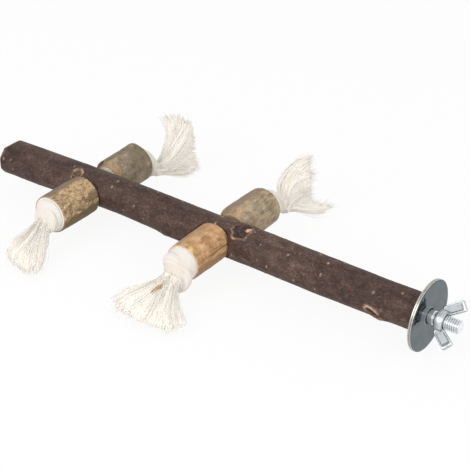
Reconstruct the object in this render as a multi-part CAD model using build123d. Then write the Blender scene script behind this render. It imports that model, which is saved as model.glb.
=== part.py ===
from build123d import *
import math
import os

# A natural-wood cage perch, in millimetres. The origin is on the bolt's axis, on the face of
# the inner washer that meets the cage bars. +X runs out along the bolt, +Z is up, and the
# branch lies along -X. Front is -Y and left is -X.

# Branch: its axis wanders a little, and its girth changes along it
branch_length = 293.5
branch_radius = 10.75
branch_sway = 1.0
free_end_bevel = 2.2
station_shares = (0.10, 0.20, 0.32, 0.43, 0.55, 0.66, 0.77, 0.89, 1.00)
rise_shares = (-0.40, 0.55, 0.85, 0.10, 0.05, 0.40, -0.15, -0.45, -0.20)
girth_shares = (1.02, 1.00, 0.98, 1.00, 0.99, 1.00, 1.02, 0.99, 0.97)
free_end_rise_share = -0.90

# Ropes that cross the branch, one in from its free end and one further on
left_rope_inset = 70.0
rope_spacing = 92.5

# Trimmed side shoots: low round stubs on the bark, turned up from the rear in degrees
stub_height = 1.1
stub_taper_share = 0.75
high_stub_radius = 4.6
high_stub_before_left_rope = 8.0
high_stub_angle = 108.0
middle_stub_radius = 5.2
middle_stub_past_right_rope = 17.0
middle_stub_angle = 112.0
low_stub_radius = 4.4
low_stub_inset = 25.0
low_stub_angle = -164.0
under_stub_radius = 7.0
under_stub_before_right_rope = 29.0
under_stub_angle = -127.0

# Logs, one on each side of the branch on each rope
front_left_log_length = 30.3
front_left_log_radius = 11.4
rear_left_log_length = 29.3
rear_left_log_radius = 11.5
front_right_log_length = 29.5
front_right_log_radius = 10.8
rear_right_log_length = 32.2
rear_right_log_radius = 11.4
shallow_seat_depth = 0.4
deep_seat_depth = 4.6
log_seat_gap = 0.3
log_seat_clearance = 0.6
front_log_bevel = 0.6
rear_left_log_bevel = 3.4
rear_right_log_bevel = 3.2
log_bevel_run_share = 1.3
log_root_girth_share = 1.02
log_waist_girth_share = 1.025
log_edge = 0.5

# Rope, its knots and its frayed ends
rope_radius = 4.0
rope_clearance = 0.3
knot_gap = 0.3
front_left_knot_radius = 9.4
front_left_knot_length = 8.0
front_left_neck_drop = 4.5
front_left_neck_aside = 1.0
front_right_knot_radius = 10.0
front_right_knot_length = 12.0
front_right_neck_drop = 5.0
front_right_neck_aside = 1.0
rear_left_knot_radius = 8.6
rear_left_knot_length = 12.8
rear_left_neck_drop = 9.0
rear_left_neck_aside = 4.0
rear_right_knot_radius = 8.6
rear_right_knot_length = 12.5
rear_right_neck_drop = 5.5
rear_right_neck_aside = 5.0
knot_run_shares = (0.0, 0.22, 0.50, 0.80)
knot_girth_shares = (0.70, 0.97, 1.00, 0.76)
neck_radius = 4.8

# Each frayed end is a flat fan; its turn is how far its right-hand edge is tipped down, in degrees
front_left_tassel_length = 29.0
front_left_spread = 10.8
front_left_lean = 9.5
front_left_droop = 6.0
front_left_fan_turn = 18.0
front_right_tassel_length = 30.0
front_right_spread = 18.5
front_right_lean = 2.5
front_right_droop = 6.0
front_right_fan_turn = 12.0
rear_left_tassel_length = 27.0
rear_left_spread = 14.5
rear_left_lean = 5.0
rear_left_droop = -13.0
rear_left_fan_turn = 62.0
rear_right_tassel_length = 25.5
rear_right_spread = 15.0
rear_right_lean = 2.5
rear_right_droop = -8.0
rear_right_fan_turn = 45.0
tassel_run_shares = (0.35, 0.68, 1.00)
tassel_lean_shares = (0.50, 0.85, 1.00)
tassel_droop_shares = (0.20, 0.46, 1.00)
tassel_width_shares = (0.42, 1.00, 0.80)
tassel_depth_shares = (1.00, 1.00, 0.80)

# Hanger bolt: M8 machine thread outside the branch, wood thread inside, both drawn plain
bolt_radius = 4.0
bolt_reach = 19.0
bolt_chamfer = 0.9
wood_thread_radius = 3.8
wood_thread_length = 34.0
wood_point_length = 7.0
pilot_clearance = 0.05

# Washers and wing nut
washer_radius = 20.0
washer_thickness = 1.0
washer_edge = 0.25
washer_clearance = 0.3
nut_standoff = 5.0
nut_radius = 5.9
nut_height = 4.6
nut_edge = 0.5
wing_root_reach = 7.2
nut_clearance = 0.05
wing_turn = 46.0
wing_thickness = 2.6
wing_reach = 14.4
wing_tip_reach = 9.4
wing_rise = 9.0
wing_tip_rise = 13.0
wing_corner = 1.4
wing_edge = 0.45

overrun = 2.0

branch_bolt_x = -washer_thickness
branch_free_x = branch_bolt_x - branch_length
left_rope_x = branch_free_x + left_rope_inset
right_rope_x = left_rope_x + rope_spacing


def across_x(x, z=0.0):
    return Plane(origin=(x, 0, z), x_dir=(0, 1, 0), z_dir=(1, 0, 0))


def branch_girth_at(x):
    share = (x - branch_free_x) / branch_length
    places = zip(station_shares, station_shares[1:], girth_shares, girth_shares[1:])
    for start, end, start_girth, end_girth in places:
        if share <= end:
            part = max(0.0, (share - start) / (end - start))
            return branch_radius * (start_girth + part * (end_girth - start_girth))
    return branch_radius * girth_shares[-1]


# Each log stands on the branch at its rope: side is -1 in front and 1 behind
logs = {
    "front_left": dict(
        side=-1,
        x=left_rope_x,
        seat_depth=shallow_seat_depth,
        length=front_left_log_length,
        radius=front_left_log_radius,
        bevel=front_log_bevel,
        knot_radius=front_left_knot_radius,
        knot_length=front_left_knot_length,
        neck_drop=front_left_neck_drop,
        neck_aside=front_left_neck_aside,
        run=front_left_tassel_length,
        spread=front_left_spread,
        lean=front_left_lean,
        droop=front_left_droop,
        fan_turn=front_left_fan_turn,
    ),
    "rear_left": dict(
        side=1,
        x=left_rope_x,
        seat_depth=shallow_seat_depth,
        length=rear_left_log_length,
        radius=rear_left_log_radius,
        bevel=rear_left_log_bevel,
        knot_radius=rear_left_knot_radius,
        knot_length=rear_left_knot_length,
        neck_drop=rear_left_neck_drop,
        neck_aside=rear_left_neck_aside,
        run=rear_left_tassel_length,
        spread=rear_left_spread,
        lean=rear_left_lean,
        droop=rear_left_droop,
        fan_turn=rear_left_fan_turn,
    ),
    "front_right": dict(
        side=-1,
        x=right_rope_x,
        seat_depth=deep_seat_depth,
        length=front_right_log_length,
        radius=front_right_log_radius,
        bevel=front_log_bevel,
        knot_radius=front_right_knot_radius,
        knot_length=front_right_knot_length,
        neck_drop=front_right_neck_drop,
        neck_aside=front_right_neck_aside,
        run=front_right_tassel_length,
        spread=front_right_spread,
        lean=front_right_lean,
        droop=front_right_droop,
        fan_turn=front_right_fan_turn,
    ),
    "rear_right": dict(
        side=1,
        x=right_rope_x,
        seat_depth=shallow_seat_depth,
        length=rear_right_log_length,
        radius=rear_right_log_radius,
        bevel=rear_right_log_bevel,
        knot_radius=rear_right_knot_radius,
        knot_length=rear_right_knot_length,
        neck_drop=rear_right_neck_drop,
        neck_aside=rear_right_neck_aside,
        run=rear_right_tassel_length,
        spread=rear_right_spread,
        lean=rear_right_lean,
        droop=rear_right_droop,
        fan_turn=rear_right_fan_turn,
    ),
}


def log_seat(log):
    return branch_girth_at(log["x"]) - log["seat_depth"] + log_seat_gap


def log_root_radius(log):
    return log["radius"] * log_root_girth_share


def outward(log, distance, aside=0.0, down=0.0, turn=0.0):
    # A plane across the log's rope, this far out from the log's seat, facing away from the branch
    place = (log["x"] + aside, log["side"] * (log_seat(log) + distance), -down)
    level = (math.cos(math.radians(turn)), 0, -math.sin(math.radians(turn)))
    return Plane(origin=place, x_dir=level, z_dir=(0, log["side"], 0))


def make_stub(x, angle, radius):
    turn = math.radians(angle)
    away = (0, math.cos(turn), math.sin(turn))
    height = branch_radius + stub_height
    foot = Plane(origin=(x, 0, 0), x_dir=(1, 0, 0), z_dir=away)
    return foot * Cone(
        radius, radius * stub_taper_share, height, align=(Align.CENTER, Align.CENTER, Align.MIN)
    )


def make_branch():
    free_z = free_end_rise_share * branch_sway
    free_radius = branch_radius * girth_shares[0]
    shoulder_x = branch_free_x + free_end_bevel
    sections = [across_x(shoulder_x, free_z) * Circle(free_radius)]
    for station, rise, girth in zip(station_shares, rise_shares, girth_shares):
        x = branch_free_x + station * branch_length
        sections.append(across_x(x, rise * branch_sway) * Circle(branch_radius * girth))
    branch = loft(sections)
    tip = across_x(branch_free_x, free_z) * Circle(free_radius - free_end_bevel)
    branch += loft([tip, sections[0]], ruled=True)
    stubs = (
        (left_rope_x - high_stub_before_left_rope, high_stub_angle, high_stub_radius),
        (right_rope_x + middle_stub_past_right_rope, middle_stub_angle, middle_stub_radius),
        (branch_bolt_x - low_stub_inset, low_stub_angle, low_stub_radius),
        (right_rope_x - under_stub_before_right_rope, under_stub_angle, under_stub_radius),
    )
    for x, angle, radius in stubs:
        branch += make_stub(x, angle, radius)
    # A flat seat under each log, then the hole that its rope runs through
    for log in logs.values():
        seat = outward(log, -log_seat_gap) * Circle(log_root_radius(log) + log_seat_clearance)
        branch -= extrude(seat, branch_radius + overrun)
    hole_radius = rope_radius + rope_clearance
    hole_length = 2 * (branch_radius + stub_height + overrun)
    for x in (left_rope_x, right_rope_x):
        branch -= Plane(origin=(x, 0, 0), z_dir=(0, 1, 0)) * Cylinder(hole_radius, hole_length)
    return branch - bolt_solid(pilot_clearance)


def bolt_solid(growth):
    # The bolt's half outline turned about its axis; growth gives the hole that it screws into
    root_x = branch_bolt_x - wood_thread_length
    point_x = root_x - wood_point_length
    end_radius = bolt_radius + growth
    outline = Polyline(
        (point_x - growth, 0),
        (root_x, wood_thread_radius + growth),
        (branch_bolt_x, wood_thread_radius + growth),
        (branch_bolt_x, end_radius),
        (bolt_reach - bolt_chamfer, end_radius),
        (bolt_reach, end_radius - bolt_chamfer),
        (bolt_reach, 0),
        close=True,
    )
    return revolve(make_face(outline), Axis.X)


def make_washer(x):
    ring = Circle(washer_radius) - Circle(bolt_radius + washer_clearance)
    washer = extrude(across_x(x) * ring, washer_thickness)
    rims = washer.edges().filter_by(GeomType.CIRCLE).group_by(SortBy.RADIUS)[-1]
    return fillet(rims, washer_edge)


def make_wing_nut():
    base_x = washer_thickness + nut_standoff
    hub = extrude(across_x(base_x) * Circle(nut_radius), nut_height)
    hub = chamfer(hub.edges().filter_by(GeomType.CIRCLE), nut_edge)
    # The wing's outline: along the bolt from the nut's base, and out from the bolt's axis
    outline = Polyline(
        (0, bolt_radius),
        (0, wing_root_reach),
        (wing_rise, wing_reach),
        (wing_tip_rise, wing_tip_reach),
        (nut_height, bolt_radius),
        close=True,
    )
    blade = make_face(outline)
    tips = blade.vertices().group_by(Axis.X)[-2] + blade.vertices().group_by(Axis.X)[-1]
    blade = fillet(tips, wing_corner)
    nut = hub
    for half in (0.0, 180.0):
        turn = math.radians(wing_turn + half)
        across = (0, -math.sin(turn), math.cos(turn))
        sheet = Plane(origin=(base_x, 0, 0), x_dir=(1, 0, 0), z_dir=across)
        wing = extrude(sheet * blade, wing_thickness / 2, both=True)
        flats = wing.faces().filter_by(GeomType.PLANE).group_by(SortBy.AREA)[-1]
        wing = fillet(flats.edges(), wing_edge)
        nut += wing
    bore_length = nut_height + wing_tip_rise
    bore = across_x(base_x - overrun) * Circle(bolt_radius + nut_clearance)
    return nut - extrude(bore, bore_length + overrun)


def make_log(log):
    length = log["length"]
    radius = log["radius"]
    bevel = log["bevel"]
    bevel_run = bevel * log_bevel_run_share
    foot = outward(log, 0.0) * Circle(log_root_radius(log) - bevel)
    root = outward(log, bevel_run) * Circle(log_root_radius(log))
    waist = outward(log, (bevel_run + length) / 2) * Circle(radius * log_waist_girth_share)
    rim = outward(log, length - log_edge) * Circle(radius)
    end = outward(log, length) * Circle(radius - log_edge)
    body = loft([foot, root], ruled=True) + loft([root, waist, rim]) + loft([rim, end], ruled=True)
    bore = outward(log, -overrun) * Circle(rope_radius + rope_clearance)
    return body - extrude(bore, length + 2 * overrun)


def knot_start(log):
    return log["length"] + knot_gap


def make_rope(front, rear):
    # One straight rope from knot to knot, through both logs and the branch between them
    length = 0.0
    for log in (front, rear):
        length += log_seat(log) + knot_start(log)
    return extrude(outward(front, knot_start(front)) * Circle(rope_radius), -length)


def make_knot(log):
    # A stopper knot: a round bulge on the log's end that sinks and closes down to the rope's neck
    sections = []
    for run, girth in zip(knot_run_shares, knot_girth_shares):
        distance = knot_start(log) + run * log["knot_length"]
        plane = outward(log, distance, run * log["neck_aside"], run * log["neck_drop"])
        sections.append(plane * Circle(log["knot_radius"] * girth))
    neck = outward(log, knot_start(log) + log["knot_length"], log["neck_aside"], log["neck_drop"])
    sections.append(neck * Circle(neck_radius))
    return loft(sections)


def make_tassel(log):
    # A flat fan that leaves the knot at its neck, widens, leans aside and droops or rises
    start = knot_start(log) + log["knot_length"]
    root = outward(log, start, log["neck_aside"], log["neck_drop"], log["fan_turn"])
    sections = [root * Circle(neck_radius)]
    shares = zip(
        tassel_run_shares,
        tassel_lean_shares,
        tassel_droop_shares,
        tassel_width_shares,
        tassel_depth_shares,
    )
    for run, lean, droop, width, depth in shares:
        aside = log["neck_aside"] + lean * log["lean"]
        down = log["neck_drop"] + droop * log["droop"]
        plane = outward(log, start + run * log["run"], aside, down, log["fan_turn"])
        half_width = neck_radius + width * (log["spread"] - neck_radius)
        sections.append(plane * Ellipse(half_width, neck_radius * depth))
    return loft(sections)


pieces = {
    "branch": make_branch(),
    "hanger_bolt": bolt_solid(0.0),
    "inner_washer": make_washer(branch_bolt_x),
    "outer_washer": make_washer(0.0),
    "wing_nut": make_wing_nut(),
    "rope_left": make_rope(logs["front_left"], logs["rear_left"]),
    "rope_right": make_rope(logs["front_right"], logs["rear_right"]),
}
for place, log in logs.items():
    pieces[f"log_{place}"] = make_log(log)
    pieces[f"knot_{place}"] = make_knot(log)
    pieces[f"tassel_{place}"] = make_tassel(log)

os.makedirs("parts", exist_ok=True)
for node, shape in pieces.items():
    export_step(shape, f"parts/{node}.step")
    print(node, round(shape.volume, 1))
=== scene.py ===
import bpy
import numpy as np
from math import pi, radians
from mathutils import Matrix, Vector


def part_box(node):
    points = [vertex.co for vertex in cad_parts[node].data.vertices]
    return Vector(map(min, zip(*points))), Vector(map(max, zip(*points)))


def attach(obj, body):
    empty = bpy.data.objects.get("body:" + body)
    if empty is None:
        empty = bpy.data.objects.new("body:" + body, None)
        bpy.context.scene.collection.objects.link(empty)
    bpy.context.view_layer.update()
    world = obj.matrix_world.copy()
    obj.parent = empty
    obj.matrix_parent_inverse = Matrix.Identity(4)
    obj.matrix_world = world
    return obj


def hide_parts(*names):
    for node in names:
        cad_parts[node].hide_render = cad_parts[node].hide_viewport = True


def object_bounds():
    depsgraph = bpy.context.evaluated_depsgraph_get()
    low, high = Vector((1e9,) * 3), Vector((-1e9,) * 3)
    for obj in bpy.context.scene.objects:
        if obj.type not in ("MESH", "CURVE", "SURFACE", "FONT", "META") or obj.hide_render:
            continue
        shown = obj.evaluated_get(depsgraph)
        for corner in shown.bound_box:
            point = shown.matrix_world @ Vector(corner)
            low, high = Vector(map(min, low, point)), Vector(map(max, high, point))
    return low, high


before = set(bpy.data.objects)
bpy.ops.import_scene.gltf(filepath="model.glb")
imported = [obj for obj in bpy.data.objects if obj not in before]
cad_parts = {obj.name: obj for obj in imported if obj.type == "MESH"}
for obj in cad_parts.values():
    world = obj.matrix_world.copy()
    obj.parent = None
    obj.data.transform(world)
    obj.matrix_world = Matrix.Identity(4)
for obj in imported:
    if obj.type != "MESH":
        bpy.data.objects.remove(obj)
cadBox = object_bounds()
mm = 0.001  # sizes below are in millimetres, and meshes in metres
places = ["front_left", "rear_left", "front_right", "rear_right"]
print("frame loaded")


# Small maths used by every piece

def ease(low, high, value):
    # 0 below low, 1 above high, and a smooth rise between
    part = np.clip((value - low) / (high - low), 0, 1)
    return part * part * (3 - 2 * part)


def hill(value, middle, width):
    # a bell of height 1 at the middle
    return np.exp(-((value - middle) / width) ** 2)


def cellNumber(cell, seed):
    # a repeatable number from 0 to 1 for each whole-number cell: the fraction of a large sine
    large = np.sin(cell @ np.array([12.9898, 78.233, 37.719]) + 4.1 * seed) * 43758.5453
    return large - np.floor(large)


def softNoise(points, size, seed):
    # value noise from -1 to 1: every cell corner has a fixed number, blended smoothly between
    scaled = points / np.asarray(size, float)
    cell = np.floor(scaled)
    part = ease(0, 1, scaled - cell)
    total = np.zeros(points.shape[:-1])
    for corner in np.ndindex(2, 2, 2):
        weight = np.prod(np.where(np.array(corner) == 1, part, 1 - part), axis=-1)
        total += weight * cellNumber(cell + np.array(corner), seed)
    return 2 * total - 1


def roughNoise(points, size, seed):
    # soft noise in three layers, each half as large and half as strong as the last
    size = np.asarray(size, float)
    return sum(softNoise(points, size / 2**layer, seed + layer) / 2**layer for layer in range(3)) / 1.5


def unit(vectors):
    # each vector divided by its length
    return vectors / np.linalg.norm(vectors, axis=-1, keepdims=True)


def nodeBox(node):
    # the low and high corner of a CAD piece
    return (np.array(corner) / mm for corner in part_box(node))


def ringTurns(columns):
    # even angles once round, as one row
    return np.linspace(0, 2 * pi, columns, endpoint=False)[None, :]


def turnFrom(turn, degrees):
    # the angle from a direction, between minus and plus half a turn
    return np.mod(turn - radians(degrees) + pi, 2 * pi) - pi


def turned(x, radius, turn):
    # points at a distance from the bolt's axis, at each place along it and each angle
    return np.stack(np.broadcast_arrays(x, radius * np.cos(turn), radius * np.sin(turn)), -1)


def between(at, number, table):
    # every column of a table, read between its rows
    return np.stack([np.interp(at, number, column) for column in np.transpose(table)], -1)


def evenLine(line, count, closed=False):
    # points at even steps along a line, how far along they are, and the line's length
    gone = np.concatenate([[0], np.cumsum(np.linalg.norm(np.diff(line, axis=0), axis=1))])
    even = np.linspace(0, gone[-1], count, endpoint=not closed)
    return between(even, gone, line), even, gone[-1]


# Meshes

def buildMesh(name, points, faceSets, masks, material):
    # points in millimetres, face sets as arrays of corner numbers, masks as one number a point
    corners = [points[faces[:, :3]] for faces in faceSets]
    volume = sum(np.sum(np.cross(c[:, 0], c[:, 1]) * c[:, 2]) for c in corners)
    if volume < 0:  # inside out, so every face is turned round
        faceSets = [faces[:, ::-1] for faces in faceSets]
    mesh = bpy.data.meshes.new(name)
    mesh.vertices.add(len(points))
    mesh.vertices.foreach_set("co", (points * mm).astype(np.float32).ravel())
    loops = np.concatenate([faces.ravel() for faces in faceSets]).astype(np.int32)
    sizes = np.concatenate([np.full(len(faces), faces.shape[1]) for faces in faceSets])
    mesh.loops.add(len(loops))
    mesh.loops.foreach_set("vertex_index", loops)
    mesh.polygons.add(len(sizes))
    mesh.polygons.foreach_set("loop_start", (np.cumsum(sizes) - sizes).astype(np.int32))
    mesh.polygons.foreach_set("use_smooth", np.ones(len(sizes), bool))
    mesh.update(calc_edges=True)
    for mask, values in masks.items():
        attribute = mesh.attributes.new(mask, "FLOAT", "POINT")
        attribute.data.foreach_set("value", np.asarray(values, np.float32).ravel())
    mesh.materials.append(material)
    piece = bpy.data.objects.new(name, mesh)
    bpy.context.scene.collection.objects.link(piece)
    return piece


def gridFaces(rows, columns, ring):
    # four neighbours make one face; columns always close round, and rows do where the shape is a ring
    number = np.arange(rows * columns).reshape(rows, columns)
    here = number if ring else number[:-1]
    after = np.roll(number, -1, axis=0) if ring else number[1:]
    corners = [here, after, np.roll(after, -1, axis=1), np.roll(here, -1, axis=1)]
    return np.stack(corners, axis=-1).reshape(-1, 4)


def roundParts(points, ring=False):
    # a surface whose rows run along it and whose columns close round it; a middle point closes each end
    rows, columns = points.shape[:2]
    flat = points.reshape(-1, 3)
    faceSets = [gridFaces(rows, columns, ring)]
    if not ring:
        flat = np.concatenate([flat, points[0].mean(0)[None], points[-1].mean(0)[None]])
        first = np.arange(columns)
        last = first + (rows - 1) * columns
        start = np.full(columns, rows * columns)
        faceSets.append(np.stack([first, np.roll(first, -1), start], -1))
        faceSets.append(np.stack([np.roll(last, -1), last, start + 1], -1))
    return flat, faceSets


def roundMask(values, ring=False):
    # a mask for the points of roundParts
    if ring:
        return values.ravel()
    return np.concatenate([values.ravel(), [values[0].mean()], [values[-1].mean()]])


def joinParts(parts):
    # several point and face lists as one
    points, faceSets, count = [], [], 0
    for partPoints, partFaces in parts:
        points.append(partPoints)
        faceSets += [faces + count for faces in partFaces]
        count += len(partPoints)
    return np.concatenate(points), faceSets


def placePiece(name, points, faceSets, masks, material, node, body, slotName):
    # a mesh that takes a CAD piece's place, and moves with its body
    piece = buildMesh(name, points, faceSets, masks, material)
    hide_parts(node)
    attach(piece, body)


def roundPiece(name, points, masks, *rest, ring=False):
    # one round surface with its masks; the rest is as for placePiece
    masks = {mask: roundMask(values, ring) for mask, values in masks.items()}
    placePiece(name, *roundParts(points, ring), masks, *rest)


def rowStack(blocks, turn):
    # makes a function that takes one value or array for each block of rows, and lays them on one grid
    def stack(*parts):
        return np.concatenate([part + 0 * block + 0 * turn for part, block in zip(parts, blocks)])

    return stack


# Shaders

def colour(paint):
    # screen colour from 0 to 255 as the linear numbers that shaders take; a socket stays as it is
    if isinstance(paint, Wire):
        return paint
    part = np.array(paint) / 255
    linear = np.where(part > 0.04045, ((part + 0.055) / 1.055) ** 2.4, part / 12.92)
    return (*linear.tolist(), 1.0)


class Wire:
    # one shader socket: + - and * on it add Math nodes, and node() adds any other node
    def __init__(self, tree, socket=None):
        self.tree = tree
        self.socket = socket

    def node(self, kind, inputs=None, output=0, stops=(), **settings):
        # stops are the places and colours of a ramp
        made = self.tree.nodes.new(kind)
        for name, value in settings.items():
            setattr(made, name, value)
        if stops:
            elements = made.color_ramp.elements
            while len(elements) < len(stops):
                elements.new(0.5)
            for element, (place, paint) in zip(elements, stops):
                element.position = place
                element.color = colour(paint)
        for name, value in (inputs or {}).items():
            if isinstance(value, Wire):
                self.tree.links.new(value.socket, made.inputs[name])
            else:
                made.inputs[name].default_value = value
        return Wire(self.tree, made.outputs[output] if made.outputs else None)

    def math(self, operation, first, second):
        # a sum, difference, product or smaller of two values
        return self.node("ShaderNodeMath", {0: first, 1: second}, operation=operation)

    def __add__(self, other):
        return self.math("ADD", self, other)

    def __radd__(self, other):
        return self.math("ADD", other, self)

    def __sub__(self, other):
        return self.math("SUBTRACT", self, other)

    def __rsub__(self, other):
        return self.math("SUBTRACT", other, self)

    def __mul__(self, other):
        return self.math("MULTIPLY", self, other)

    def __rmul__(self, other):
        return self.math("MULTIPLY", other, self)


class Finish:
    # a material, its base colour so far, and the few patterns that the perch's finishes share
    def __init__(self, name):
        self.material = bpy.data.materials.new(name)
        self.material.use_nodes = True
        self.material.node_tree.nodes.clear()
        self.wire = Wire(self.material.node_tree)
        self.place = self.wire.node("ShaderNodeTexCoord", output="Object")
        self.base = None

    def mask(self, name):
        # the number that each point of the mesh holds under a name
        return self.wire.node("ShaderNodeAttribute", output="Fac", attribute_name=name)

    def noise(self, size, detail, rough, stretch=(1, 1, 1), twist=0.0):
        # size in millimetres, and stretch makes it longer along an axis
        scale = tuple(1 / (size * mm * s) for s in stretch)
        moved = self.wire.node("ShaderNodeMapping", {"Vector": self.place, "Scale": scale})
        inputs = {"Vector": moved, "Scale": 1.0, "Detail": detail, "Roughness": rough, "Distortion": twist}
        return self.wire.node("ShaderNodeTexNoise", inputs)

    def band(self, value, low, high):
        # 0 to 1 as the value goes from low to high
        inputs = {"Value": value, "From Min": low, "From Max": high}
        return self.wire.node("ShaderNodeMapRange", inputs, interpolation_type="SMOOTHSTEP")

    def sine(self, value):
        # the sine of an angle in radians
        return self.wire.node("ShaderNodeMath", {0: value}, operation="SINE")

    def ramp(self, value, *stops):
        # a colour for each value, blended between stops
        return self.wire.node("ShaderNodeValToRGB", {"Fac": value}, stops=stops)

    def mix(self, factor, first, second):
        # the first colour at 0 and the second at 1
        inputs = {0: factor, 6: colour(first), 7: colour(second)}
        return self.wire.node("ShaderNodeMix", inputs, output=2, data_type="RGBA")

    def coat(self, part, paint):
        # a colour laid over the base as far as part says
        self.base = self.mix(part, self.base, paint)

    def bump(self, height, depth):
        # depth in millimetres
        return self.wire.node("ShaderNodeBump", {"Height": height, "Distance": depth * mm, "Strength": 1.0})

    def shade(self, **inputs):
        # in the names of sockets _ stands for a space
        named = {name.replace("_", " "): value for name, value in inputs.items()}
        shader = self.wire.node("ShaderNodeBsdfPrincipled", {"Base Color": self.base, **named})
        self.wire.node("ShaderNodeOutputMaterial", {"Surface": shader})
        return self.material


# Branch

branchLook = dict(
    radius=10.75,
    stations=(0.0075, 0.10, 0.20, 0.32, 0.43, 0.55, 0.66, 0.77, 0.89, 1.00),  # shares of its length
    rises=(-0.90, -0.40, 0.55, 0.85, 0.10, 0.05, 0.40, -0.15, -0.45, -0.20),
    girths=(1.02, 1.02, 1.00, 0.98, 1.00, 0.99, 1.00, 1.02, 0.99, 0.97),  # shares of the radius
    rows=530, columns=168,
    tip=8.0,  # length of the finer rows at the free end
    seatGap=0.3, seatMargin=0.6, seatEdge=0.5,
    bark=((0.30, (34, 11, 11)), (0.13, (9, 1.9, 1.9)), (0.05, (1.3, 0.8, 0.8))),  # heights and sizes
    lenticels=0.20,
)
lenticels = dict(cell=(8.0, 5.5), reach=(0.6, 0.95), share=0.38, seed=21)

# Flat knife cuts at the free end: degrees up from the rear, distance from the axis at the tip, and slope
knifeCuts = [
    (92, 7.2, 0.60), (138, 8.3, 0.62), (182, 8.9, 1.10), (226, 9.2, 1.00),
    (272, 9.2, 0.75), (318, 8.7, 0.85), (10, 8.4, 0.70), (52, 8.0, 0.66),
]

# Cut side shoots: place along the branch, degrees up from the rear, half length, half width, the slant of the
# long side in degrees, how far the rear (1) or front (-1) edge stands out over the other, the rim's height
# and its width as a share, the pit's depth, the height of the collar round it all, and how dark the pit is
scars = [
    (-233.0, 130, 3.0, 4.2, 0, 1.0, 0.8, 0.2, 0.8, 0.5, 0.2),
    (-115.3, 107, 5.8, 6.0, -15, -0.35, 0.7, 0.08, 0.9, 0.8, 1.0),
    (-26.4, 198, 5.6, 2.6, 32, 0.4, 0.9, 0.17, 1.0, 0.8, 1.0),
    (-161.0, 233, 6.0, 4.5, 0, 0.0, 0.12, 0.2, 0.0, 0.9, 0.0),
]
grownOver = 0.3  # a rim lower than this has bark over it
heart = dict(x=-112.2, angle=99, long=1.9, wide=1.5, rise=0.7)  # the pale heart wood in the second scar


def spots(along, around, girth, look):
    # one oval spot in a share of the cells of a sheet that closes round the girth: the nearest spot's bell
    long, wide = look["cell"]
    count = max(1, round(girth / wide))
    wide = girth / count
    column = np.floor(along / long)
    row = np.floor(around / wide)
    best = np.zeros(along.shape)
    for right, up in np.ndindex(3, 3):
        cell = np.stack([column + right - 1, np.mod(row + up - 1, count), np.zeros(along.shape)], -1)
        drawn = [cellNumber(cell, look["seed"] + number) for number in range(5)]
        grown = 0.6 + 0.8 * drawn[2]
        farAlong = along - (column + right - 1 + 0.15 + 0.7 * drawn[0]) * long
        farAround = around - (row + up - 1 + 0.15 + 0.7 * drawn[1]) * wide
        far = (farAlong / (look["reach"][0] * grown)) ** 2 + (farAround / (look["reach"][1] * grown)) ** 2
        strength = 0.35 + 0.65 * drawn[4]
        best = np.maximum(best, np.exp(-far) * strength * (drawn[3] < look["share"]))
    return best


def barkRelief(start, flat, look, seeds):
    # lumps, lengthwise wrinkles and fine grain added to a height: each is noise of its own height and size
    lumps, wrinkles, grain = look
    wrinkle = roughNoise(flat, wrinkles[1], seeds[1])
    relief = start + lumps[0] * roughNoise(flat, lumps[1], seeds[0]) + wrinkles[0] * wrinkle
    return relief + grain[0] * softNoise(flat, grain[1], seeds[2]), wrinkle


def branchRadius(x, turn):
    # girth along the branch, plus the bark's relief, lenticels and the cut shoots
    look = branchLook
    low, high = nodeBox("branch")
    share = (x - low[0]) / (high[0] - low[0])
    flat = turned(x, look["radius"], turn)
    pores = spots(x, look["radius"] * turn, 2 * pi * look["radius"], lenticels)
    girth = look["radius"] * np.interp(share, look["stations"], look["girths"])
    radius, wrinkle = barkRelief(girth, flat, look["bark"], (3, 7, 9))
    radius += look["lenticels"] * pores
    ringMask, pitMask, woodMask = np.zeros((3, *x.shape))
    ripple = 0.20 * softNoise(flat, 2.4, 31) + 0.12 * softNoise(flat, 0.8, 33)
    broken = ease(-0.8, 0.2, softNoise(flat, 1.7, 35))
    for place, angle, long, wide, slant, edge, crest, rim, depth, collar, dark in scars:
        aside = -look["radius"] * turnFrom(turn, angle)
        slant = radians(slant)
        along = ((x - place) * np.cos(slant) - aside * np.sin(slant)) / long
        across = ((x - place) * np.sin(slant) + aside * np.cos(slant)) / wide
        far = np.hypot(along, across) + ripple
        ring = hill(far, 1.0, rim) * np.clip(1 - abs(edge) + edge * (0.5 + across), 0, 1)
        pit = ease(0.95, 0.6, far)
        radius += collar * ease(2.1, 0.95, far) + crest * ring - depth * pit
        bare = crest > grownOver
        ringMask = np.maximum(ringMask, np.minimum(1.3 * ring * broken, 1) * bare)
        pitMask = np.maximum(pitMask, pit * dark)
        woodMask = np.maximum(woodMask, pit * (1 - dark) * bare)
    aside = look["radius"] * turnFrom(turn, heart["angle"])
    far = np.hypot((x - heart["x"]) / heart["long"], aside / heart["wide"]) + 0.5 * ripple
    heartMask = ease(1.15, 0.75, far)
    radius += heart["rise"] * heartMask
    masks = dict(pores=pores, wrinkle=wrinkle, heart=heartMask)
    masks.update(scarRing=ringMask, scarPit=pitMask, scarWood=woodMask)
    return radius, masks


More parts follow.
